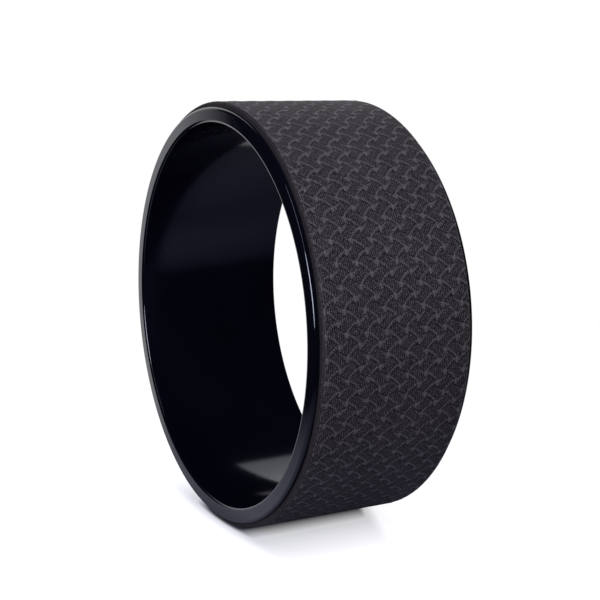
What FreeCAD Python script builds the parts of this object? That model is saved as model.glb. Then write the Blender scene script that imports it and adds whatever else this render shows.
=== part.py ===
import FreeCAD, Part
import math
import os

# Yoga wheel: a glossy moulded hoop with a lip along each rim, and a cushioned mat strip that is wrapped
# round it, bonded between the lips and closed by a butt seam. The Y axis is the wheel's axle line, the
# origin is the wheel's centre and +Z is up, so the wheel stands on its tread. Sizes are in millimetres.

# Whole wheel
WHEEL_DIAMETER = 330.0       # over the mat's tread
HOOP_WIDTH = 130.0           # between the hoop's two end faces

# Moulded hoop
BORE_DIAMETER = 298.0
HOOP_WALL = 6.0              # from the bore to the floor of the mat's channel
LIP_DIAMETER = 321.4
LIP_THICKNESS = 4.0          # along the axle, measured at the lip's crown
LIP_DRAFT = 3.0              # lean of the lip's inner side in degrees, thickening it towards its root
LIP_ROUND = 2.0              # between the lip's crown and the end face
BORE_BEVEL_WIDTH = 1.4       # of the bevel along both edges of the bore, across the end face
BORE_BEVEL_DEPTH = 1.0       # of that bevel, along the axle

# Mat strip and its bond
MAT_WIDTH = 121.2
TOP_LAYER_THICKNESS = 4.9
TREAD_EDGE_BREAK = 2.0       # along both edges of the tread
ADHESIVE_THICKNESS = 0.2
ADHESIVE_MARGIN = 1.5        # strip left without adhesive along each edge of the mat
SEAM_GAP = 0.4               # between the strip's two butted ends, at the tread
SEAM_DIRECTION = 180.0       # degrees about the axle line, with 0 at +X

# Radii and half widths that follow from the sizes above
TREAD_RADIUS = WHEEL_DIAMETER / 2
BORE_RADIUS = BORE_DIAMETER / 2
LIP_RADIUS = LIP_DIAMETER / 2
FLOOR_RADIUS = BORE_RADIUS + HOOP_WALL
MAT_BACK_RADIUS = FLOOR_RADIUS + ADHESIVE_THICKNESS
LAMINATION_RADIUS = TREAD_RADIUS - TOP_LAYER_THICKNESS
HALF_HOOP = HOOP_WIDTH / 2
HALF_MAT = MAT_WIDTH / 2
HALF_ADHESIVE = HALF_MAT - ADHESIVE_MARGIN

CENTRE = FreeCAD.Vector(0, 0, 0)
AXLE = FreeCAD.Vector(0, 1, 0)
FULL_TURN = 360.0


def corner_arc(before, corner, after, radius):
    """The start, middle and end of the arc of a given radius that is tangent to both sides of a corner."""
    to_before = (before - corner).normalize()
    to_after = (after - corner).normalize()
    half_angle = to_before.getAngle(to_after) / 2
    reach = radius / math.tan(half_angle)
    inward = (to_before + to_after).normalize()
    middle = corner + inward * (radius / math.sin(half_angle) - radius)
    return corner + to_before * reach, middle, corner + to_after * reach


def section(corners):
    """A flat face of the wheel's section, from corners given as (radius, place along the axle, round).

    A corner with a round gets a tangent arc of that radius, and a corner with none stays sharp.
    """
    points = [FreeCAD.Vector(radius, along, 0) for radius, along, rounding in corners]
    count = len(points)
    edges = []
    starts = []
    ends = []
    for index, (radius, along, rounding) in enumerate(corners):
        here = points[index]
        if rounding == 0:
            starts.append(here)
            ends.append(here)
            continue
        start, middle, end = corner_arc(points[index - 1], here, points[(index + 1) % count], rounding)
        starts.append(start)
        ends.append(end)
        edges.append(Part.Arc(start, middle, end).toShape())
    for index in range(count):
        edges.append(Part.LineSegment(ends[index - 1], starts[index]).toShape())
    return Part.Face(Part.Wire(Part.__sortEdges__(edges)))


def closed_ring(face):
    """A section carried all the way round the axle line."""
    return face.revolve(CENTRE, AXLE, FULL_TURN)


def butted_strip(face):
    """A section carried round the axle line until its two ends almost meet, with the gap at the seam."""
    gap_angle = math.degrees(SEAM_GAP / TREAD_RADIUS)
    strip = face.revolve(CENTRE, AXLE, FULL_TURN - gap_angle)
    strip.rotate(CENTRE, AXLE, SEAM_DIRECTION + gap_angle / 2)
    return strip


def hoop():
    """One moulding: a plain bore, two flat end faces, and a lip at each side of the mat's channel."""
    half_crown = HALF_HOOP - LIP_THICKNESS
    half_floor = half_crown - (LIP_RADIUS - FLOOR_RADIUS) * math.tan(math.radians(LIP_DRAFT))
    far_side = [
        (BORE_RADIUS, HALF_HOOP - BORE_BEVEL_DEPTH, 0),
        (BORE_RADIUS + BORE_BEVEL_WIDTH, HALF_HOOP, 0),
        (LIP_RADIUS, HALF_HOOP, LIP_ROUND),
        (LIP_RADIUS, half_crown, 0),
        (FLOOR_RADIUS, half_floor, 0),
    ]
    near_side = [(radius, -along, rounding) for radius, along, rounding in reversed(far_side)]
    return closed_ring(section(far_side + near_side))


def adhesive_film():
    """The bond between the channel's floor and the back of the mat."""
    return closed_ring(section([
        (FLOOR_RADIUS, -HALF_ADHESIVE, 0),
        (FLOOR_RADIUS, HALF_ADHESIVE, 0),
        (MAT_BACK_RADIUS, HALF_ADHESIVE, 0),
        (MAT_BACK_RADIUS, -HALF_ADHESIVE, 0),
    ]))


def mat_underlayer():
    """The foam half of the laminated mat, sunk between the lips."""
    return butted_strip(section([
        (MAT_BACK_RADIUS, -HALF_MAT, 0),
        (MAT_BACK_RADIUS, HALF_MAT, 0),
        (LAMINATION_RADIUS, HALF_MAT, 0),
        (LAMINATION_RADIUS, -HALF_MAT, 0),
    ]))


def mat_top_layer():
    """The tread half of the laminated mat, which stands proud of the lips and has its edges broken."""
    return butted_strip(section([
        (LAMINATION_RADIUS, -HALF_MAT, 0),
        (LAMINATION_RADIUS, HALF_MAT, 0),
        (TREAD_RADIUS - TREAD_EDGE_BREAK, HALF_MAT, 0),
        (TREAD_RADIUS, HALF_MAT - TREAD_EDGE_BREAK, 0),
        (TREAD_RADIUS, TREAD_EDGE_BREAK - HALF_MAT, 0),
        (TREAD_RADIUS - TREAD_EDGE_BREAK, -HALF_MAT, 0),
    ]))


def main():
    """Write each piece of the wheel, in its place, to its own file."""
    os.makedirs("parts", exist_ok=True)
    for piece in (hoop, adhesive_film, mat_underlayer, mat_top_layer):
        piece().exportStep("parts/" + piece.__name__ + ".step")


main()
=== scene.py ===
import math
from collections import namedtuple

import bpy
import numpy as np
from bpy.props import FloatProperty, FloatVectorProperty, IntProperty, PointerProperty
from mathutils import Matrix, Vector


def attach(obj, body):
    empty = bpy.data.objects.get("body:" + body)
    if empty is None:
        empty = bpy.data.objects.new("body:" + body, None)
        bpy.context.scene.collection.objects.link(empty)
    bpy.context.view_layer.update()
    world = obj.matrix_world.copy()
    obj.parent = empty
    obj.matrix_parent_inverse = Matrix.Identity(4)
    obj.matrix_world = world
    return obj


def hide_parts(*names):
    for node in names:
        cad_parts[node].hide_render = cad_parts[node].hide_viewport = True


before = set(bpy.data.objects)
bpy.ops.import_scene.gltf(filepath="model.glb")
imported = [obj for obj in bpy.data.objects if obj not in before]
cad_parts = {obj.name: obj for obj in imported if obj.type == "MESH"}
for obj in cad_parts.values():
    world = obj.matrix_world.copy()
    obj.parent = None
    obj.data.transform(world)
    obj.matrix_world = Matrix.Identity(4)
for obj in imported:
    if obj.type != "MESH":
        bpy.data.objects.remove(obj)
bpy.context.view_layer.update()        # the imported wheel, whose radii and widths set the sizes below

bl_info = {
    "name": "Yoga wheel",
    "version": (1, 0, 0),
    "blender": (4, 5, 0),
    "location": "View3D > Sidebar > Yoga wheel",
    "description": "Builds a yoga wheel: a glossy hoop, an embossed mat bonded round it, and a studio",
    "category": "Object",
}

# The wheel's axle line is Y, its centre is the origin and +Z is up. Lengths are in metres.
# An angle about the axle is 0 at +X and a quarter turn at +Z.
MM = 0.001

Reach = namedtuple("Reach", "inner outer half_width")
Corner = namedtuple("Corner", "radius along before after")


def node_reach(name):
    """Inner radius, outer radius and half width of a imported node, measured from its vertices."""
    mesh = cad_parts[name].data
    points = np.empty(len(mesh.vertices) * 3, np.float32)
    mesh.vertices.foreach_get("co", points)
    points = points.reshape(-1, 3).astype(float)
    radii = np.hypot(points[:, 0], points[:, 2])
    return Reach(radii.min(), radii.max(), np.abs(points[:, 1]).max())


HOOP = node_reach("hoop")
BOND = node_reach("adhesive_film")
UNDERLAYER = node_reach("mat_underlayer")
TOP_LAYER = node_reach("mat_top_layer")

# The tread's repeat, in millimetres along and across the strip, and the place of one broad pad
REPEAT_ALONG = (16.16, -0.83)
REPEAT_ACROSS = (-0.26, 15.98)
FIRST_PAD = (9.99, 5.64)

# The motif inside one repeat, in millimetres right of and above the broad pad's middle
MOTIF = 16.0
HATCH_PITCH = 1.6
# A hollow in each repeat, lower and painted darker as shade, and its reach right and up
PIT = (7.8, -10.35)
PIT_REACH = (1.0, 0.65)

# Levels of the tread's relief, with 0 on the pads' tops and -1 in the deepest grooves
GROUND_LEVEL = -0.5
EDGE_LEVEL = -0.3
WEDGE_LEVEL = -0.15
CREST_LEVEL = -0.12

Pad = namedtuple("Pad", "middle half_height left left_lean right right_lean top_slope")
BROAD_PAD = Pad((0.0, 0.0), 2.1, -1.15, -0.18, 1.30, 0.06, 0.0)
LEAN_PAD = Pad((9.95, -8.0), 2.05, -1.15, -0.35, 1.05, 0.10, 0.30)

# Over and under are the depths of the grooves along a ridge's two sides, which are also painted darker as
# shade. Shine is the paleness painted on a ridge's top as sheen. A ridge's beads are counted from
# bead_place, and bead_turn gives the beads to a millimetre right and up.
Ridge = namedtuple("Ridge", "start end rise first_width last_width shine fade over under "
                            "beading bead_turn bead_place")
RIDGES = (
    # From the broad pad down to the leaning pad, from the broad pad up to the next leaning pad, and from the
    # leaning pad up to the next broad pad
    Ridge((1.3, 0.8), (9.7, -5.6), 0.70, 1.05, 0.70, 0.70, 0.0, 0.2, 0.9, 0.50, (0.62, -0.10), (2.8, 0.1)),
    Ridge((0.6, 2.3), (8.3, 8.8), 0.45, 0.70, 1.05, 0.62, 0.0, 0.4, 0.5, 0.75, (0.39, 0.33), (2.7, 4.5)),
    Ridge((11.0, -8.0), (16.6, -3.9), 0.25, 1.25, 0.75, 0.70, 0.4, 0.2, 0.3, 0.50, (0.66, 0.0), (13.6, 0.0)),
)
# Smooth wedge from the leaning pad down to the next broad pad
WEDGE = Ridge((9.2, -11.5), (14.7, -15.6), 0.0, 0.25, 1.35, 0.45, 0.0, 1.0, 0.4, 0.0, (0.0, 0.0), (0.0, 0.0))

# Lamps, by their directions from the wheel in degrees, and their distances and sizes in metres
Lamp = namedtuple("Lamp", "name azimuth elevation distance size")
KEY_LAMP = Lamp("key_lamp", -46, 15, 1.5, (0.7, 0.85))
STRIP_LAMP = Lamp("strip_lamp", -46, 48, 1.5, (0.2, 1.1))
TOP_FILL = Lamp("top_fill", -28, 80, 1.4, (1.6, 1.6))

# Degrees off the camera's line at which the backdrop ends and at which it is full
BACKDROP_EDGE = (54.0, 51.6)

# Metres from the wheel's foot over which the painted contact shadow clears, and over which the floor's glow
# brightens in two stages, painting the wheel's shadow near it. The last pair is the distance from the origin
# over which the floor fades out.
CONTACT_CLEARS = (0.028, 0.052)
NEAR_BRIGHTENS = (0.030, 0.055)
FAR_BRIGHTENS = (0.060, 0.112)
FLOOR_FADES = (0.12, 0.42)


class WheelSizes(bpy.types.PropertyGroup):
    """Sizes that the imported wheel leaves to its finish."""

    lip_thickness: FloatProperty(
        name="Lip thickness", description="Width of the lip's crown along the axle",
        default=4.0 * MM, unit="LENGTH", subtype="DISTANCE")
    lip_draft: FloatProperty(
        name="Lip draft", description="Lean of the lip's inner side",
        default=math.radians(3.0), unit="ROTATION", subtype="ANGLE")
    lip_round: FloatProperty(
        name="Lip round", description="Radius between the lip's crown and the end face",
        default=2.0 * MM, unit="LENGTH", subtype="DISTANCE")
    small_round: FloatProperty(
        name="Small rounds", description="Radius of the hoop's other moulded edges",
        default=0.35 * MM, unit="LENGTH", subtype="DISTANCE")
    bore_ease_width: FloatProperty(
        name="Bore ease width", description="Reach across the end face of the round at the bore's edges",
        default=2.1 * MM, unit="LENGTH", subtype="DISTANCE")
    bore_ease_depth: FloatProperty(
        name="Bore ease depth", description="Reach along the bore of the round at its edges",
        default=1.7 * MM, unit="LENGTH", subtype="DISTANCE")
    edge_width: FloatProperty(
        name="Mat edge width", description="Reach across the tread of the round along the mat's cut edges",
        default=2.0 * MM, unit="LENGTH", subtype="DISTANCE")
    edge_drop: FloatProperty(
        name="Mat edge drop", description="Reach down the mat's sides of the round along its cut edges",
        default=2.4 * MM, unit="LENGTH", subtype="DISTANCE")
    emboss_depth: FloatProperty(
        name="Emboss depth", description="From the pads' tops to the deepest groove of the tread",
        default=0.5 * MM, unit="LENGTH", subtype="DISTANCE")
    seam_gap: FloatProperty(
        name="Seam gap", description="Between the mat strip's two butted ends, at the tread",
        default=0.4 * MM, unit="LENGTH", subtype="DISTANCE")
    seam_round: FloatProperty(
        name="Seam rounds", description="Radius of the rounds at the mat strip's two butted ends",
        default=0.8 * MM, unit="LENGTH", subtype="DISTANCE")
    steps_per_repeat: IntProperty(
        name="Steps per repeat", description="Grid steps across one repeat of the tread",
        default=32, min=8)


class WheelFinishes(bpy.types.PropertyGroup):
    """Colours of the wheel and its studio, as linear values."""

    hoop: FloatVectorProperty(
        name="Hoop", description="Gloss plastic", subtype="COLOR", size=3,
        default=(0.0012, 0.0014, 0.0042), min=0, max=1)
    tread: FloatVectorProperty(
        name="Tread", description="Matt ground of the tread", subtype="COLOR", size=3,
        default=(0.0200, 0.0174, 0.0232), min=0, max=1)
    # Painted sheen: the pressed tops of the pads and ridges are given a paler colour for the sheen of their
    # smoother skin
    tread_pads_painted_sheen: FloatVectorProperty(
        name="Tread pads", description="Pressed tops of the tread's pads and ridges", subtype="COLOR", size=3,
        default=(0.082, 0.072, 0.090), min=0, max=1)
    foam: FloatVectorProperty(
        name="Foam", description="Cut foam of the mat's sides and underlayer", subtype="COLOR", size=3,
        default=(0.0140, 0.0120, 0.0160), min=0, max=1)
    bond: FloatVectorProperty(
        name="Bond", description="Adhesive film", subtype="COLOR", size=3,
        default=(0.42, 0.38, 0.30), min=0, max=1)
    floor: FloatVectorProperty(
        name="Floor", description="Pale studio floor", subtype="COLOR", size=3,
        default=(0.29, 0.30, 0.41), min=0, max=1)


class WheelStudio(bpy.types.PropertyGroup):
    """Camera and lamps."""

    camera_azimuth: FloatProperty(
        name="Camera azimuth", description="Turn of the camera from the near end face towards +X",
        default=math.radians(61.49), unit="ROTATION", subtype="ANGLE")
    camera_elevation: FloatProperty(
        name="Camera elevation", description="Height of the camera above the axle line, as an angle",
        default=math.radians(9.55), unit="ROTATION", subtype="ANGLE")
    camera_distance: FloatProperty(
        name="Camera distance", description="From the point that it looks at",
        default=1.022, unit="LENGTH", subtype="DISTANCE")
    camera_aim: FloatVectorProperty(
        name="Camera aim", description="Point that the camera looks at", size=3,
        default=(3.63 * MM, 9.22 * MM, 7.3 * MM), unit="LENGTH", subtype="TRANSLATION")
    camera_lens: FloatProperty(
        name="Camera lens", description="Focal length on a 36 mm sensor, in millimetres", default=76.61)
    key_power: FloatProperty(
        name="Key lamp", description="Power of the lamp to the left of the camera",
        default=22.0, unit="POWER")
    strip_power: FloatProperty(
        name="Strip lamp", description="Power of the narrow upright lamp above the key lamp",
        default=2.2, unit="POWER")
    top_power: FloatProperty(
        name="Top lamp", description="Power of the soft fill overhead",
        default=12.5, unit="POWER")
    room_level: FloatProperty(
        name="Room level", description="Brightness of the room around the pale backdrop", default=0.01)


def smooth_step(value):
    """Zero below 0, one above 1, and the cubic 3t^2 - 2t^3 between them."""
    share = np.clip(value, 0, 1)
    return share * share * (3 - 2 * share)


def bell(distance, half_width):
    """Gaussian bell that falls to 1/e at half_width."""
    return np.exp(-(distance / half_width) ** 2)


def nearest_repeat(value, middle):
    """The value, shifted by whole repeats until it lies within half a repeat of middle."""
    return middle + (value - middle + MOTIF / 2) % MOTIF - MOTIF / 2


def motif_place(along, across):
    """Place in the motif, right of and above the broad pad, of a place on the strip, all in millimetres.

    The two repeat vectors are the columns of a 2 by 2 matrix. Its inverse takes the strip's place to counts
    of repeats, which times the motif's size are the place in the motif. Whole repeats are left in it.
    """
    repeats = np.array([REPEAT_ALONG, REPEAT_ACROSS]).T
    offset = np.stack([along - FIRST_PAD[0], across - FIRST_PAD[1]])
    up, right = np.tensordot(np.linalg.inv(repeats), offset, axes=1) * MOTIF
    return right, up


def pad_weight(right, up, pad):
    """Weight of a flat pad: 1 on it and 0 off it, with a soft edge.

    The pad's left and right sides lean by so much for each millimetre up, and its top edge rises by top_slope
    for each millimetre to the right. The overrun past its sides and ends, round its corners, sets the weight.
    """
    x = nearest_repeat(right, pad.middle[0]) - pad.middle[0]
    y = nearest_repeat(up, pad.middle[1]) - pad.middle[1]
    past_side = np.maximum(pad.left + pad.left_lean * y - x, x - pad.right - pad.right_lean * y)
    past_end = np.abs(y - pad.top_slope * x * (y > 0)) - pad.half_height
    corner = 0.7
    past = np.hypot(np.maximum(past_side + corner, 0), np.maximum(past_end + corner, 0)) - corner
    return smooth_step(0.5 - past / 0.7)


def ridge_place(right, up, ridge):
    """Share along a ridge, count of its beads, and signed distance across it in millimetres.

    The ridge's line is a parabola over its chord, and stands 4 rise s (1 - s) off it at a share s of it.
    """
    start = np.array(ridge.start)
    chord = np.array(ridge.end) - start
    length = np.hypot(*chord)
    middle = start + chord / 2
    x = nearest_repeat(right, middle[0]) - start[0]
    y = nearest_repeat(up, middle[1]) - start[1]
    along = (x * chord[0] + y * chord[1]) / length
    share = along / length
    across = (y * chord[0] - x * chord[1]) / length - 4 * ridge.rise * share * (1 - share)
    beads = (x + start[0] - ridge.bead_place[0]) * ridge.bead_turn[0]
    beads = beads + (y + start[1] - ridge.bead_place[1]) * ridge.bead_turn[1]
    return share, beads, across


def ridge_width(ridge, share):
    """Half width of a ridge, which runs evenly from its first to its last width."""
    return ridge.first_width + (ridge.last_width - ridge.first_width) * np.clip(share, 0, 1)


def between_ends(share, run_out):
    """Weight along a ridge: 1 between its ends, easing to 0 over run_out beyond each of them."""
    return smooth_step((share + run_out) / run_out) * smooth_step((1 + run_out - share) / run_out)


def band(offset, half_width):
    """Weight across a ridge: 1 within its half width, with a short soft edge."""
    return smooth_step(0.5 - (np.abs(offset) - half_width) / 0.9)


def tread_relief(along, across):
    """Height, polish with painted light, weave and weave weight of the tread at places on the strip given in
    millimetres.

    Two pads in each repeat are joined by beaded ridges and a smooth wedge, which are bands along arched
    lines. They stand on a low ground with grooves beside them. Each form is laid over what is there by its
    weight, so that height becomes height + weight (level - height), and the polish does likewise. The polish
    sets the roughness and, with painted light, the colour: it is 0 on the ground, 1 on the pads, and the
    ridges and the wedge take their shine, where the paler colour is painted sheen. It is below 0 in the
    grooves and the pit, where the darker colour is painted shade. The weave counts the beads along each ridge
    and, between the ridges, the fine lines that run along the strip.
    """
    right, up = motif_place(along, across)
    height = np.full_like(right, GROUND_LEVEL)
    polish_and_painted_light = np.zeros_like(right)

    pit_right = bell(nearest_repeat(right, PIT[0]) - PIT[0], PIT_REACH[0])
    pit_up = bell(nearest_repeat(up, PIT[1]) - PIT[1], PIT_REACH[1])
    groove = 1.1 * pit_right * pit_up
    for ridge in (*RIDGES, WEDGE):
        share, _, offset = ridge_place(right, up, ridge)
        beside = ridge_width(ridge, share) + 0.6
        over = ridge.over * bell(offset - beside, 0.4)
        under = ridge.under * bell(offset + beside, 0.4)
        groove = np.maximum(groove, np.maximum(over, under) * between_ends(share, 0.1))
    height -= 0.3 * groove
    # Painted shade: the grooves and the pit are painted darker as well as sunk
    polish_and_painted_light -= 0.6 * groove

    share, _, offset = ridge_place(right, up, WEDGE)
    wedge = band(offset, ridge_width(WEDGE, share)) * between_ends(share, 0.1)
    height += wedge * (WEDGE_LEVEL - height)
    # Painted sheen on the wedge's top, as a paler colour
    polish_and_painted_light += wedge * (WEDGE.shine * (0.6 + 0.4 * np.clip(share, 0, 1)) - polish_and_painted_light)

    weave = right / HATCH_PITCH
    weave_weight = 0.45 * (1 - groove) * (1 - wedge)
    for ridge in RIDGES:
        share, beads, offset = ridge_place(right, up, ridge)
        weight = band(offset, ridge_width(ridge, share)) * between_ends(share, 0.08)
        fading = 1 - ridge.fade * np.clip(share, 0, 1)
        crest = CREST_LEVEL * (1 - ridge.beading * np.cos(2 * math.pi * beads))
        height += weight * fading * (crest - height)
        # Painted sheen on the ridges' tops, as a paler colour
        polish_and_painted_light += weight * fading * (ridge.shine - polish_and_painted_light)
        on_ridge = smooth_step((weight - 0.3) / 0.4)
        weave = np.where(weight > 0.3, beads, weave)
        weave_weight = np.where(weight > 0.3, on_ridge * fading * ridge.beading,
                                weave_weight * smooth_step((0.3 - weight) / 0.25))

    pads = np.maximum(pad_weight(right, up, BROAD_PAD), pad_weight(right, up, LEAN_PAD))
    height += pads * (0 - height)
    # Painted sheen on the pads' tops, the palest colour
    polish_and_painted_light += pads * (1 - polish_and_painted_light)
    return height, polish_and_painted_light, weave, weave_weight * (1 - pads)


def quads(rows, columns, close_rows, close_columns):
    """Corner numbers of the quads between neighbouring rows and columns of vertices numbered row by row."""
    row = np.arange(rows if close_rows else rows - 1)[:, None]
    column = np.arange(columns if close_columns else columns - 1)[None, :]
    next_row = (row + 1) % rows
    next_column = (column + 1) % columns
    corners = [row * columns + column, row * columns + next_column,
               next_row * columns + next_column, next_row * columns + column]
    return np.stack(np.broadcast_arrays(*corners), -1).reshape(-1, 4)


def new_mesh(name, points, faces, end_faces=()):
    """An object at the origin, whose mesh has the given points, quads and many-cornered end faces."""
    mesh = bpy.data.meshes.new(name)
    points = np.asarray(points, np.float32).reshape(-1, 3)
    corners = np.concatenate([faces.ravel(), *end_faces]).astype(np.int32)
    sizes = np.concatenate([np.full(len(faces), 4), [len(face) for face in end_faces]]).astype(np.int32)
    mesh.vertices.add(len(points))
    mesh.vertices.foreach_set("co", points.ravel())
    mesh.loops.add(len(corners))
    mesh.loops.foreach_set("vertex_index", corners)
    mesh.polygons.add(len(sizes))
    mesh.polygons.foreach_set("loop_start", (np.cumsum(sizes) - sizes).astype(np.int32))
    mesh.update(calc_edges=True)
    mesh.validate()
    mesh.shade_smooth()
    piece = bpy.data.objects.new(name, mesh)
    bpy.context.scene.collection.objects.link(piece)
    return piece


def carried_round(radii, widths, angles):
    """Points of a section carried round the axle: radius times the cosine and sine of each row's angle."""
    radii = np.broadcast_to(radii, (len(angles), len(widths)))
    angles = angles[:, None]
    widths = np.broadcast_to(widths, radii.shape)
    return np.stack([radii * np.cos(angles), widths, radii * np.sin(angles)], -1)


def full_turn(rows):
    """Angles of evenly spaced rows round a closed ring."""
    return np.arange(rows) * (2 * math.pi / rows)


def spans(start, end, length, ends_in):
    """Points between two corners' rounds: one ends_in from each end, and the rest at most length apart."""
    run = end - start
    size = np.hypot(*run)
    count = max(1, math.ceil((size - 2 * ends_in) / length))
    shares = np.linspace(ends_in / size, 1 - ends_in / size, count + 1)
    return start + shares[:, None] * run


def rounded_section(corners, length, arc_steps=8):
    """A closed outline of (radius, along) points, from corners with the reaches of their rounds.

    A corner's round touches the side before it and the side after it at its two reaches. Its points are the
    corner plus before (1 - sin w) plus after (1 - cos w), where before and after run from the corner along
    its sides to those places and w goes through a quarter turn. The straight runs between the rounds are cut
    into spans that stop just short of them, so that the flats stay flat where they are shaded smooth.
    """
    points = np.array([(corner.radius, corner.along) for corner in corners])
    reaches = np.array([(corner.before, corner.after) for corner in corners])
    before = np.roll(points, 1, 0) - points
    after = np.roll(points, -1, 0) - points
    before *= (reaches[:, 0] / np.hypot(*before.T))[:, None]
    after *= (reaches[:, 1] / np.hypot(*after.T))[:, None]
    turn = np.linspace(0, math.pi / 2, arc_steps + 1)[None, :, None]
    arcs = points[:, None] + before[:, None] * (1 - np.sin(turn)) + after[:, None] * (1 - np.cos(turn))
    pieces = []
    for index, arc in enumerate(arcs):
        following = (index + 1) % len(arcs)
        pieces += [arc, spans(arc[-1], arcs[following][0], length, reaches.min() / 2)]
    outline = np.concatenate(pieces)
    return outline[:, 0], outline[:, 1]


def block_corners(reach, rounding):
    """The four corners of a plain section, with the same round on each."""
    return [Corner(radius, along, rounding, rounding) for radius, along in (
        (reach.outer, -reach.half_width), (reach.outer, reach.half_width),
        (reach.inner, reach.half_width), (reach.inner, -reach.half_width))]


def strip_angles(outer_radius, gap, step, end_round):
    """Angles of the rows along a strip whose ends butt at -X, with more rows where its ends are rounded."""
    half_turn = math.pi - gap / 2 / outer_radius
    rounding = end_round * (1 - np.cos(np.linspace(0, math.pi / 2, 6))) / outer_radius
    inner_half = half_turn - rounding[-1]
    count = round(2 * inner_half * outer_radius / step)
    middle = np.linspace(-inner_half, inner_half, count + 1)
    return np.concatenate([-half_turn + rounding[:-1], middle, half_turn - rounding[-2::-1]])


def strip_mesh(name, radii, widths, angles):
    """A closed strip: its section's outline carried round the axle, with a flat face over each end."""
    points = carried_round(radii, widths, angles)
    rows, columns = points.shape[:2]
    faces = quads(rows, columns, False, True)
    first = np.arange(columns)[::-1]
    last = (rows - 1) * columns + np.arange(columns)
    return new_mesh(name, points, faces, (first, last))


def add_values(mesh, name, values):
    """A named value on each vertex of a mesh."""
    attribute = mesh.attributes.new(name, "FLOAT", "POINT")
    attribute.data.foreach_set("value", values.astype(np.float32).ravel())


def new_material(name):
    """A material with its node tree and its main shader."""
    material = bpy.data.materials.new(name)
    material.use_nodes = True
    tree = material.node_tree
    return material, tree, tree.nodes["Principled BSDF"]


def add_node(tree, kind, values=None, **settings):
    """A node of that kind, with its settings, and the values of its unlinked inputs by name or number."""
    node = tree.nodes.new(kind)
    for key, value in settings.items():
        setattr(node, key, value)
    for key, value in (values or {}).items():
        node.inputs[key].default_value = value
    return node


def object_noise(tree, scale, detail=3.0, roughness=0.5):
    """Noise on Object coordinates, with that many lumps to a metre."""
    place = add_node(tree, "ShaderNodeTexCoord")
    noise = add_node(tree, "ShaderNodeTexNoise", {"Scale": scale, "Detail": detail, "Roughness": roughness})
    tree.links.new(place.outputs["Object"], noise.inputs["Vector"])
    return noise.outputs["Fac"]


def distance_along(tree, axes):
    """Distance of the Object coordinates from the origin, counted along the axes that have a 1."""
    place = add_node(tree, "ShaderNodeTexCoord")
    kept = add_node(tree, "ShaderNodeVectorMath", {1: axes}, operation="MULTIPLY")
    distance = add_node(tree, "ShaderNodeVectorMath", operation="LENGTH")
    tree.links.new(place.outputs["Object"], kept.inputs[0])
    tree.links.new(kept.outputs[0], distance.inputs[0])
    return distance.outputs["Value"]


def mapped(tree, value, low, high, to_low, to_high):
    """A value mapped from one range to another and held inside it."""
    node = add_node(tree, "ShaderNodeMapRange", {1: low, 2: high, 3: to_low, 4: to_high})
    tree.links.new(value, node.inputs[0])
    return node.outputs[0]


def mixed_colour(tree, share, first, second):
    """Two colours mixed by a share. Each is a colour's three values or another node's output."""
    node = add_node(tree, "ShaderNodeMix", data_type="RGBA")
    tree.links.new(share, node.inputs["Factor"])
    for socket, colour in ((node.inputs[6], first), (node.inputs[7], second)):
        if isinstance(colour, bpy.types.NodeSocket):
            tree.links.new(colour, socket)
        else:
            socket.default_value = (*colour, 1.0)
    return node.outputs[2]


def scaled(colour, factor):
    """A colour with each of its values times a factor."""
    return tuple(factor * value for value in colour)


def add_bump(tree, height, distance, strength, before=None):
    """Bump of a height field, on top of another bump if one is given."""
    node = add_node(tree, "ShaderNodeBump", {"Strength": strength, "Distance": distance})
    tree.links.new(height, node.inputs["Height"])
    if before is not None:
        tree.links.new(before, node.inputs["Normal"])
    return node.outputs["Normal"]


def colour_ramp(tree, value, stops):
    """A value turned to a colour by stops of (value between 0 and 1, colour), blended evenly between them."""
    node = add_node(tree, "ShaderNodeValToRGB")
    tree.links.new(value, node.inputs["Fac"])
    elements = node.color_ramp.elements
    while len(elements) < len(stops):
        elements.new(1.0)
    for element, (place, colour) in zip(elements, stops):
        element.position = place
        element.color = (*colour, 1.0)
    return node.outputs["Color"]


def arithmetic(tree, operation, first, second=0.0):
    """A sum, product or function of two values, each a number or another node's output."""
    node = add_node(tree, "ShaderNodeMath", operation=operation)
    for socket, value in zip(node.inputs, (first, second)):
        if isinstance(value, bpy.types.NodeSocket):
            tree.links.new(value, socket)
        else:
            socket.default_value = value
    return node.outputs[0]


def gloss_plastic(colours):
    """Moulded gloss plastic: near black, with faint flow marks, a slight ripple and uneven polish.

    The bore, which slid off the mould's core, is a little less polished than the lips and end faces.
    """
    material, tree, shader = new_material("hoop_gloss_plastic")
    flow = object_noise(tree, 14.0, 2.0)
    rub = object_noise(tree, 160.0, 4.0)
    tree.links.new(mixed_colour(tree, flow, scaled(colours.hoop, 0.7), scaled(colours.hoop, 1.4)),
                   shader.inputs["Base Color"])
    radius = distance_along(tree, (1.0, 0.0, 1.0))
    drawn = mapped(tree, radius, HOOP.inner + 0.1 * MM, HOOP.inner + 0.8 * MM, 0.07, 0.0)
    roughness = arithmetic(tree, "ADD", mapped(tree, rub, 0.35, 0.7, 0.025, 0.05), drawn)
    tree.links.new(roughness, shader.inputs["Roughness"])
    shader.inputs["IOR"].default_value = 1.6
    shader.inputs["Specular Tint"].default_value = (0.62, 0.66, 0.82, 1.0)
    tree.links.new(add_bump(tree, flow, 0.4 * MM, 0.05), shader.inputs["Normal"])
    return material


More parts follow.
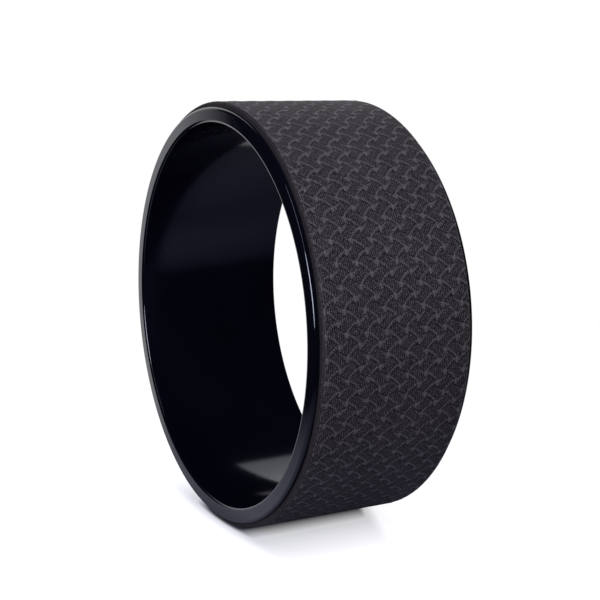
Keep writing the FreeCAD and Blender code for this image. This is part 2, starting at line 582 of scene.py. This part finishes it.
def tread_rubber(colours):
    """Embossed mat skin: matt charcoal ground, smoother where the emboss roll pressed it, with the sheen of
    the pressed tops painted in as a paler colour.

    The level is the polish with its painted light, plus the cosine of the weave's turns times its weight,
    plus a fine grain and faint patches. It sets the colour, darkest in the grooves as painted shade and
    palest on the pads as painted sheen. The polish sets the roughness. The weave and the grain raise a bump.
    """
    material, tree, shader = new_material("tread_rubber")
    polish_and_painted_light = add_node(tree, "ShaderNodeAttribute", attribute_name="polish_and_painted_light").outputs["Fac"]
    weave = add_node(tree, "ShaderNodeAttribute", attribute_name="weave").outputs["Fac"]
    weight = add_node(tree, "ShaderNodeAttribute", attribute_name="weave_weight").outputs["Fac"]
    wave = arithmetic(tree, "COSINE", arithmetic(tree, "MULTIPLY", weave, 2 * math.pi))
    lift = arithmetic(tree, "MULTIPLY", wave, weight)
    grain = object_noise(tree, 1050.0, 2.0, 0.6)
    speck = mapped(tree, grain, 0.30, 0.70, -0.95, 0.95)
    patches = mapped(tree, object_noise(tree, 22.0, 3.0), 0.3, 0.7, -0.06, 0.06)
    level = arithmetic(tree, "ADD", polish_and_painted_light, lift)
    level = arithmetic(tree, "ADD", level, arithmetic(tree, "ADD", speck, patches))
    share = mapped(tree, level, -0.8, 1.2, 0.0, 1.0)
    # The darkest stop paints shade in the grooves and the pit, and the pads' stops paint the sheen of the
    # pressed tops
    colour = colour_ramp(tree, share, (
        (0.0, scaled(colours.tread, 0.25)), (0.4, colours.tread), (0.9, colours.tread_pads_painted_sheen),
        (1.0, scaled(colours.tread_pads_painted_sheen, 1.2))))
    tree.links.new(colour, shader.inputs["Base Color"])
    tree.links.new(mapped(tree, polish_and_painted_light, 0.0, 1.0, 0.68, 0.5), shader.inputs["Roughness"])
    shader.inputs["Specular IOR Level"].default_value = 0.2
    relief = add_bump(tree, lift, 0.18 * MM, 0.7)
    tree.links.new(add_bump(tree, grain, 0.15 * MM, 0.6, relief), shader.inputs["Normal"])
    return material


def cut_foam(colours):
    """Closed-cell foam where a blade cut it: matt, with fine open cells."""
    material, tree, shader = new_material("cut_foam")
    place = add_node(tree, "ShaderNodeTexCoord")
    cells = add_node(tree, "ShaderNodeTexVoronoi", {"Scale": 1500.0})
    tree.links.new(place.outputs["Object"], cells.inputs["Vector"])
    mottle = object_noise(tree, 120.0, 3.0)
    tree.links.new(mixed_colour(tree, mottle, scaled(colours.foam, 0.75), scaled(colours.foam, 1.3)),
                   shader.inputs["Base Color"])
    tree.links.new(mapped(tree, mottle, 0.3, 0.7, 0.7, 0.85), shader.inputs["Roughness"])
    shader.inputs["Specular IOR Level"].default_value = 0.2
    tree.links.new(add_bump(tree, cells.outputs["Distance"], 0.15 * MM, 0.4), shader.inputs["Normal"])
    return material


def bond_film(colours):
    """Dried contact adhesive: straw coloured, brushed on unevenly."""
    material, tree, shader = new_material("bond_film")
    brushed = object_noise(tree, 90.0, 4.0)
    tree.links.new(mixed_colour(tree, brushed, scaled(colours.bond, 0.75), colours.bond),
                   shader.inputs["Base Color"])
    tree.links.new(mapped(tree, brushed, 0.3, 0.7, 0.35, 0.55), shader.inputs["Roughness"])
    tree.links.new(add_bump(tree, brushed, 0.1 * MM, 0.4), shader.inputs["Normal"])
    return material


def join_wheel(piece, node):
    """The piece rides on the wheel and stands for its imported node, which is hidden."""
    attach(piece, "root")
    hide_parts(node)


class WHEEL_OT_hoop(bpy.types.Operator):
    """Add the moulded hoop: bore, end faces, and a lip along each side of the mat's channel."""

    bl_idname = "yoga_wheel.add_hoop"
    bl_label = "Hoop"

    def execute(self, context):
        sizes = context.scene.yoga_wheel_sizes
        half_crown = HOOP.half_width - sizes.lip_thickness
        half_floor = half_crown - (HOOP.outer - BOND.inner) * math.tan(sizes.lip_draft)
        far_side = [
            Corner(BOND.inner, half_floor, sizes.small_round, sizes.small_round),
            Corner(HOOP.outer, half_crown, sizes.small_round, sizes.small_round),
            Corner(HOOP.outer, HOOP.half_width, sizes.lip_round, sizes.lip_round),
            Corner(HOOP.inner, HOOP.half_width, sizes.bore_ease_width, sizes.bore_ease_depth),
        ]
        near_side = [Corner(far.radius, -far.along, far.after, far.before) for far in reversed(far_side)]
        radii, widths = rounded_section(far_side + near_side, 8 * MM)
        angles = full_turn(720)
        points = carried_round(radii, widths, angles)
        piece = new_mesh("hoop_moulding", points, quads(len(angles), len(widths), True, True))
        piece.data.materials.append(gloss_plastic(context.scene.yoga_wheel_finishes))
        join_wheel(piece, "hoop")
        return {"FINISHED"}


class WHEEL_OT_bond(bpy.types.Operator):
    """Add the adhesive film between the hoop's channel and the back of the mat.

    Its two edges waver inwards by the mean of three sines round the wheel.
    """

    bl_idname = "yoga_wheel.add_bond"
    bl_label = "Adhesive film"

    def execute(self, context):
        thin = (BOND.outer - BOND.inner) / 5
        radii, widths = rounded_section(block_corners(BOND, thin), 8 * MM, 2)
        angles = full_turn(360)
        points = carried_round(radii, widths, angles)
        turn = angles[:, None]
        waver = (np.sin(7 * turn) + np.sin(17 * turn + 1) + np.sin(31 * turn + 2)) / 3
        points[..., 1] += 0.3 * MM * (waver - 1) * np.sign(points[..., 1])
        piece = new_mesh("bond_film", points, quads(len(angles), len(widths), True, True))
        piece.data.materials.append(bond_film(context.scene.yoga_wheel_finishes))
        join_wheel(piece, "adhesive_film")
        return {"FINISHED"}


class WHEEL_OT_underlayer(bpy.types.Operator):
    """Add the mat's foam underlayer, sunk between the lips."""

    bl_idname = "yoga_wheel.add_underlayer"
    bl_label = "Mat underlayer"

    def execute(self, context):
        sizes = context.scene.yoga_wheel_sizes
        edge = sizes.small_round
        radii, widths = rounded_section(block_corners(UNDERLAYER, edge), 8 * MM, 4)
        angles = strip_angles(UNDERLAYER.outer, sizes.seam_gap, 2.5 * MM, edge)
        piece = strip_mesh("mat_underlayer_foam", radii, widths, angles)
        piece.data.set_sharp_from_angle(angle=math.radians(60))
        piece.data.materials.append(cut_foam(context.scene.yoga_wheel_finishes))
        join_wheel(piece, "mat_underlayer")
        return {"FINISHED"}


def tread_section(width, drop, step):
    """Radii and widths across the mat's top layer before embossing, and the count of a side wall's points.

    Each side is a straight wall and then a quarter of an ellipse, drop sin w up and width cos w out, where w
    goes through a quarter turn. The flat between the two sides has even steps.
    """
    half_flat = TOP_LAYER.half_width - width
    flat = np.linspace(-half_flat, half_flat, round(2 * half_flat / step) + 1)
    quarter = np.linspace(0, math.pi / 2, 9)[:-1]
    wall = np.linspace(TOP_LAYER.inner, TOP_LAYER.outer - drop, 4)[:-1]
    wall_widths = np.full(len(wall), -TOP_LAYER.half_width)
    rise_radii = np.concatenate([wall, TOP_LAYER.outer - drop + drop * np.sin(quarter)])
    rise_widths = np.concatenate([wall_widths, -half_flat - width * np.cos(quarter)])
    radii = np.concatenate([rise_radii, np.full(len(flat), TOP_LAYER.outer), rise_radii[::-1]])
    widths = np.concatenate([rise_widths, flat, -rise_widths[::-1]])
    return radii, widths, len(wall)


class WHEEL_OT_tread(bpy.types.Operator):
    """Add the mat's top layer with its embossed tread, cut edges and butt seam.

    Each point moves by the emboss depth times its height, which is below 0 off the pads and eases to one
    level along the cut edges. The butted ends drop away on a round of radius r, by r (1 - sqrt(1 - t^2)),
    where t goes from 0 to 1 at the end.
    """

    bl_idname = "yoga_wheel.add_tread"
    bl_label = "Mat top layer"

    def execute(self, context):
        sizes = context.scene.yoga_wheel_sizes
        finishes = context.scene.yoga_wheel_finishes
        width, drop = sizes.edge_width, sizes.edge_drop
        step = MOTIF * MM / sizes.steps_per_repeat
        smooth_radii, widths, wall_points = tread_section(width, drop, step)
        angles = strip_angles(TOP_LAYER.outer, sizes.seam_gap, step, sizes.seam_round)

        along = angles[:, None] * TOP_LAYER.outer + 0 * widths
        across = widths + 0 * along
        height, polish_and_painted_light, weave, weave_weight = tread_relief(along / MM, across / MM)
        from_side = TOP_LAYER.half_width - np.abs(across)
        from_end = (math.pi - np.abs(angles[:, None])) * TOP_LAYER.outer - sizes.seam_gap / 2
        inward = np.minimum(from_side / width, from_end / sizes.seam_round)
        pressed = smooth_step((inward - 0.55) / 0.45)
        height = EDGE_LEVEL + pressed * (height - EDGE_LEVEL)
        on_tread = smooth_step((smooth_radii - TOP_LAYER.outer + drop) / drop)
        radii = smooth_radii + sizes.emboss_depth * height * on_tread
        towards_end = np.clip(1 - from_end / sizes.seam_round, 0, 1)
        end_drop = sizes.seam_round * (1 - np.sqrt(1 - towards_end ** 2))
        wall_top = TOP_LAYER.outer - drop - sizes.emboss_depth
        radii = np.minimum(radii, np.maximum(radii - end_drop, wall_top))
        # Painted light along the cut edges and butted ends: a painted highlight on the line where the pressed
        # tread begins, and a darker colour over the unpressed rounds outside it
        painted_edge_highlight = bell(from_side - width, 0.45 * MM)
        polish_and_painted_light = polish_and_painted_light * pressed * on_tread + 0.5 * painted_edge_highlight - 0.4 * (1 - pressed)

        piece = strip_mesh("mat_top_layer_tread", radii, widths, angles)
        piece.data.set_sharp_from_angle(angle=math.radians(60))
        add_values(piece.data, "polish_and_painted_light", polish_and_painted_light)
        add_values(piece.data, "weave", weave)
        add_values(piece.data, "weave_weight", weave_weight * pressed * on_tread)
        piece.data.materials.append(tread_rubber(finishes))
        piece.data.materials.append(cut_foam(finishes))
        column = np.arange(len(widths))
        is_side = (column <= wall_points) | (column >= len(widths) - wall_points - 2)
        which = np.concatenate([np.tile(is_side, len(angles) - 1), [True, True]])
        piece.data.polygons.foreach_set("material_index", which.astype(np.int32))
        join_wheel(piece, "mat_top_layer")
        return {"FINISHED"}


def floor_material(colours):
    """Pale studio floor: matt, faintly mottled, and fading out with the distance from the wheel.

    Away is the distance from the line that the wheel stands on, with what lies past the line's ends counted
    seven times. On the +X side the far end draws in by 0.31 of x. Beside the wheel its real shadow falls on
    the matt floor, and painted shadow adds to it: the colour is painted darker at the wheel's foot, and the
    glow, which rises with away, paints the shadow's shape before it turns the floor white further out. The
    camera sees the glow, and reflections see it only in front of the near end face, a painted reflection that
    leaves the floor behind the wheel reflecting as if in shade.
    """
    material, tree, shader = new_material("studio_floor")
    place = add_node(tree, "ShaderNodeTexCoord")
    axes = add_node(tree, "ShaderNodeSeparateXYZ")
    tree.links.new(place.outputs["Object"], axes.inputs[0])
    x, y = axes.outputs[0], axes.outputs[1]
    lean = arithmetic(tree, "MULTIPLY", arithmetic(tree, "MAXIMUM", x, 0.0), 0.31)
    far, near = arithmetic(tree, "ADD", y, lean), arithmetic(tree, "MULTIPLY", y, -1.0)
    outwards = arithmetic(tree, "MAXIMUM", far, near)
    past_end = arithmetic(tree, "SUBTRACT", outwards, TOP_LAYER.half_width - 4 * MM)
    past_end = arithmetic(tree, "MULTIPLY", arithmetic(tree, "MAXIMUM", past_end, 0.0), 7.0)
    squares = [arithmetic(tree, "POWER", side, 2.0) for side in (x, past_end)]
    away = arithmetic(tree, "SQRT", arithmetic(tree, "ADD", *squares))
    mottle = object_noise(tree, 6.0, 2.0)
    open_floor = mixed_colour(tree, mottle, scaled(colours.floor, 0.98), colours.floor)
    # Painted contact shadow: the colour is a quarter as bright at the wheel's foot and clears outwards
    clear = mapped(tree, away, *CONTACT_CLEARS, 0.0, 1.0)
    tree.links.new(mixed_colour(tree, clear, scaled(colours.floor, 0.25), open_floor),
                   shader.inputs["Base Color"])
    shader.inputs["Roughness"].default_value = 0.9
    shader.inputs["Specular IOR Level"].default_value = 0.1
    shader.inputs["Emission Color"].default_value = (1.0, 1.0, 1.0, 1.0)
    rays = add_node(tree, "ShaderNodeLightPath")
    seen = arithmetic(tree, "MAXIMUM", rays.outputs["Is Camera Ray"], rays.outputs["Is Transmission Ray"])
    # Painted reflection: glossy rays see the glow only in front of the near end face, so that the floor
    # behind the wheel reflects as if in shade
    in_front = mapped(tree, y, -HOOP.half_width - 30 * MM, -HOOP.half_width, 0.28, 0.0)
    mirrored = arithmetic(tree, "MULTIPLY", rays.outputs["Is Glossy Ray"], in_front)
    seen = arithmetic(tree, "MAXIMUM", seen, mirrored)
    # Painted shadow: the glow rises with away, shaping the wheel's shadow before the floor turns white
    glow = arithmetic(tree, "ADD", mapped(tree, away, *NEAR_BRIGHTENS, 0.0, 0.56),
                      mapped(tree, away, *FAR_BRIGHTENS, 0.0, 0.32))
    tree.links.new(arithmetic(tree, "MULTIPLY", seen, glow), shader.inputs["Emission Strength"])
    distance = distance_along(tree, (1.0, 1.0, 0.0))
    tree.links.new(mapped(tree, distance, *FLOOR_FADES, 1.0, 0.0), shader.inputs["Alpha"])
    return material


def add_lamp(lamp, power):
    """An oval lamp that looks at the wheel's centre, unseen by the camera."""
    data = bpy.data.lights.new(lamp.name, "AREA")
    data.shape = "ELLIPSE"
    data.size, data.size_y = lamp.size
    data.energy = power
    placed = bpy.data.objects.new(lamp.name, data)
    turn, lift = math.radians(lamp.azimuth), math.radians(lamp.elevation)
    away = Vector((math.cos(turn) * math.cos(lift), math.sin(turn) * math.cos(lift), math.sin(lift)))
    placed.location = away * lamp.distance
    placed.rotation_mode = "QUATERNION"
    placed.rotation_quaternion = away.to_track_quat("Z", "Y")
    placed.visible_camera = False
    bpy.context.scene.collection.objects.link(placed)
    return placed


def add_camera(studio):
    """The camera, and the direction to it from its aim: its azimuth from -Y towards +X, and its elevation."""
    turn, lift = studio.camera_azimuth, studio.camera_elevation
    right = Vector((math.cos(turn), math.sin(turn), 0))
    back = Vector((math.sin(turn) * math.cos(lift), -math.cos(turn) * math.cos(lift), math.sin(lift)))
    above = back.cross(right)
    data = bpy.data.cameras.new("studio_camera")
    data.sensor_width = 36.0
    data.lens = studio.camera_lens
    camera = bpy.data.objects.new("studio_camera", data)
    placed = Matrix((right, above, back)).transposed().to_4x4()
    placed.translation = Vector(studio.camera_aim) + back * studio.camera_distance
    camera.matrix_world = placed
    bpy.context.scene.collection.objects.link(camera)
    return camera, back


def studio_world(studio, facing):
    """A pale backdrop, as a soft-edged round patch of sky behind the wheel, in a dim room.

    The camera sees the backdrop's white all round.
    """
    world = bpy.data.worlds.new("studio")
    world.use_nodes = True
    tree = world.node_tree
    place = add_node(tree, "ShaderNodeTexCoord")
    towards = add_node(tree, "ShaderNodeVectorMath", {1: facing}, operation="DOT_PRODUCT")
    tree.links.new(place.outputs["Generated"], towards.inputs[0])
    ends, full = (math.cos(math.radians(angle)) for angle in BACKDROP_EDGE)
    patch = mapped(tree, towards.outputs["Value"], ends, full, studio.room_level, 1.0)
    rays = add_node(tree, "ShaderNodeLightPath")
    seen = arithmetic(tree, "MAXIMUM", rays.outputs["Is Camera Ray"], rays.outputs["Is Transmission Ray"])
    background = tree.nodes["Background"]
    background.inputs["Color"].default_value = (1.0, 1.0, 1.0, 1.0)
    tree.links.new(arithmetic(tree, "MAXIMUM", patch, seen), background.inputs["Strength"])
    bpy.context.scene.world = world


class WHEEL_OT_stage(bpy.types.Operator):
    """Add the pale floor, the backdrop, the lamps and the camera."""

    bl_idname = "yoga_wheel.add_stage"
    bl_label = "Studio"

    def execute(self, context):
        scene = context.scene
        studio = scene.yoga_wheel_studio
        reach = np.linspace(-1.1, 1.1, 23)
        x, y = np.meshgrid(reach, reach, indexing="ij")
        points = np.stack([x, y, np.full_like(x, -TOP_LAYER.outer)], -1)
        floor = new_mesh("studio_floor", points, quads(len(reach), len(reach), False, False))
        floor.data.flip_normals()
        floor.data.materials.append(floor_material(scene.yoga_wheel_finishes))

        scene.camera, back = add_camera(studio)
        studio_world(studio, Vector((-back.x, -back.y, 0)).normalized())
        add_lamp(KEY_LAMP, studio.key_power)
        add_lamp(STRIP_LAMP, studio.strip_power)
        fill = add_lamp(TOP_FILL, studio.top_power)
        fill.visible_glossy = False    # lights the mat, and leaves no reflection on the gloss
        scene.view_settings.view_transform = "Standard"
        return {"FINISHED"}


class VIEW3D_PT_yoga_wheel(bpy.types.Panel):
    """Sidebar panel with the wheel's sizes and colours and a button for each of its pieces."""

    bl_label = "Yoga wheel"
    bl_space_type = "VIEW_3D"
    bl_region_type = "UI"
    bl_category = "Yoga wheel"

    def draw(self, context):
        column = self.layout.column()
        for group in (context.scene.yoga_wheel_sizes, context.scene.yoga_wheel_finishes,
                      context.scene.yoga_wheel_studio):
            for name in group.__annotations__:
                column.prop(group, name)
        for operator in OPERATORS:
            column.operator(operator.bl_idname)


OPERATORS = (WHEEL_OT_hoop, WHEEL_OT_bond, WHEEL_OT_underlayer, WHEEL_OT_tread, WHEEL_OT_stage)
CLASSES = (WheelSizes, WheelFinishes, WheelStudio, *OPERATORS, VIEW3D_PT_yoga_wheel)


def register():
    for cls in CLASSES:
        bpy.utils.register_class(cls)
    bpy.types.Scene.yoga_wheel_sizes = PointerProperty(type=WheelSizes)
    bpy.types.Scene.yoga_wheel_finishes = PointerProperty(type=WheelFinishes)
    bpy.types.Scene.yoga_wheel_studio = PointerProperty(type=WheelStudio)


def unregister():
    del bpy.types.Scene.yoga_wheel_studio
    del bpy.types.Scene.yoga_wheel_finishes
    del bpy.types.Scene.yoga_wheel_sizes
    for cls in reversed(CLASSES):
        bpy.utils.unregister_class(cls)


def main():
    """Build every piece and the studio."""
    register()
    bpy.ops.yoga_wheel.add_hoop()
    bpy.ops.yoga_wheel.add_bond()
    bpy.ops.yoga_wheel.add_underlayer()
    bpy.ops.yoga_wheel.add_tread()
    bpy.ops.yoga_wheel.add_stage()


if __name__ == "__main__":
    main()
